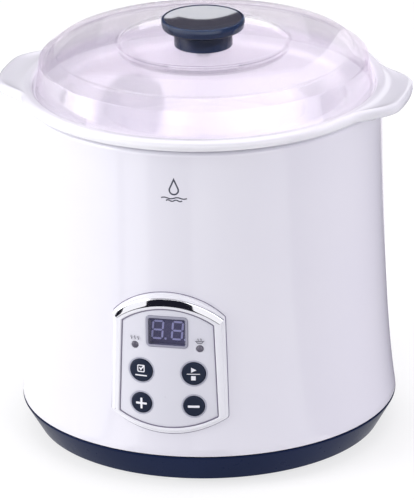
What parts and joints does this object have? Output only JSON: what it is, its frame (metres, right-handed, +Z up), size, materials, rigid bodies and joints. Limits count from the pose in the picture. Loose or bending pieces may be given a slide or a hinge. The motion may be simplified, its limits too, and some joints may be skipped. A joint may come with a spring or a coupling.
{
  "type": "yogurt maker",
  "caption": "Electric yogurt maker: round flared housing with a push-button display panel, lift-out ceramic pot with two ears, and a clear domed lid with a knob.",
  "frame": {"origin": "on the table, under the middle of the base", "axes": "+Z up; the control panel faces -Y; the pot's ears point along +X and -X"},
  "size_m": [0.209, 0.19, 0.214],
  "materials": {
    "housing_white": "glossy white",
    "bezel_white": "glossy white",
    "navy_base": "semi-gloss dark blue",
    "navy_cover": "matte dark blue",
    "foot_rubber": "matte black",
    "screw_steel": "zinc plated",
    "collar_grey": "heat resistant, matte",
    "gasket_rubber": "silicone",
    "liner_aluminium": "satin",
    "bracket_steel": "galvanised",
    "heater_silicone": "silicone heater film",
    "felt": "needled felt",
    "sensor_steel": "satin",
    "fuse_ceramic": "matte",
    "trim_chrome": "mirror chrome",
    "insert_pearl": "pearl light grey",
    "display_grey": "satin grey",
    "display_window": "tinted window",
    "display_body": "matte dark",
    "digit_pale": "diffuser segments",
    "lamp_grey": "smoked lens",
    "circuit_board": "solder mask",
    "black_plastic": "matte black",
    "stem_black": "matte black",
    "relay_blue": "glossy blue",
    "capacitor_sleeve": "shrink sleeve",
    "terminal_green": "matte green",
    "ribbon_grey": "ribbon cable",
    "lead_red": "silicone lead",
    "lead_black": "lead",
    "lead_blue": "lead",
    "inlet_black": "glossy black",
    "pin_brass": "plated brass",
    "button_navy": "semi-gloss dark blue",
    "icon_white": "printed white",
    "pot_glaze": "white glaze",
    "lid_clear": "clear plastic, faint lilac tint",
    "knob_navy": "glossy dark blue",
    "dish_mirror": "mirror",
    "seal_silicone": "silicone"
  },
  "bodies": {
    "housing": {"outer_shell": "housing_white", "base_ring": "navy_base", "bottom_cover": "navy_cover", "rubber_feet": "foot_rubber", "base_screws": "screw_steel", "support_collar": "collar_grey", "liner_gasket": "gasket_rubber", "liner": "liner_aluminium", "liner_stand": "bracket_steel", "heater_film": "heater_silicone", "insulation_sleeve": "felt", "temperature_sensor": "sensor_steel", "sensor_spring": "sensor_steel", "thermal_fuse": "fuse_ceramic", "fuse_clip": "bracket_steel", "panel_bezel": "bezel_white", "chrome_trim": "trim_chrome", "panel_insert": "insert_pearl", "display_frame": "display_grey", "display_lens": "display_window", "display_module": "display_body", "digit_segments": "digit_pale", "heating_lamp": "lamp_grey", "keep_warm_lamp": "lamp_grey", "control_board": "circuit_board", "switch_bodies": "black_plastic", "panel_screws": "screw_steel", "ribbon_cable": "ribbon_grey", "power_board": "circuit_board", "transformer": "black_plastic", "relay": "relay_blue", "capacitor": "capacitor_sleeve", "terminal_block": "terminal_green", "power_board_screws": "screw_steel", "heater_leads": "lead_red", "sensor_leads": "lead_black", "inlet_leads": "lead_blue", "power_inlet": "inlet_black", "inlet_pins": "pin_brass"},
    "function_key": {"function_button": "button_navy", "function_icon": "icon_white", "function_stem": "stem_black"},
    "start_key": {"start_button": "button_navy", "start_icon": "icon_white", "start_stem": "stem_black"},
    "plus_key": {"plus_button": "button_navy", "plus_icon": "icon_white", "plus_stem": "stem_black"},
    "minus_key": {"minus_button": "button_navy", "minus_icon": "icon_white", "minus_stem": "stem_black"},
    "pot": {"inner_pot": "pot_glaze"},
    "lid": {"lid": "lid_clear", "lid_knob": "knob_navy", "knob_dish": "dish_mirror", "knob_screw": "screw_steel", "knob_washer": "screw_steel", "knob_seal": "seal_silicone"}
  },
  "joints": [
    {"name": "pot_lift", "type": "slide", "parent": "housing", "child": "pot", "axis": [0, 0, 1], "range_m": [0, 0.2]},
    {"name": "lid_lift", "type": "slide", "parent": "pot", "child": "lid", "axis": [0, 0, 1], "range_m": [0, 0.12]},
    {"name": "function_press", "type": "slide", "parent": "housing", "child": "function_key", "axis": [0, 1, 0], "range_m": [0, 0.0006], "stiffness_N_per_m": 1500},
    {"name": "start_press", "type": "slide", "parent": "housing", "child": "start_key", "axis": [0, 1, 0], "range_m": [0, 0.0006], "stiffness_N_per_m": 1500},
    {"name": "plus_press", "type": "slide", "parent": "housing", "child": "plus_key", "axis": [0, 1, 0], "range_m": [0, 0.0006], "stiffness_N_per_m": 1500},
    {"name": "minus_press", "type": "slide", "parent": "housing", "child": "minus_key", "axis": [0, 1, 0], "range_m": [0, 0.0006], "stiffness_N_per_m": 1500}
  ]
}
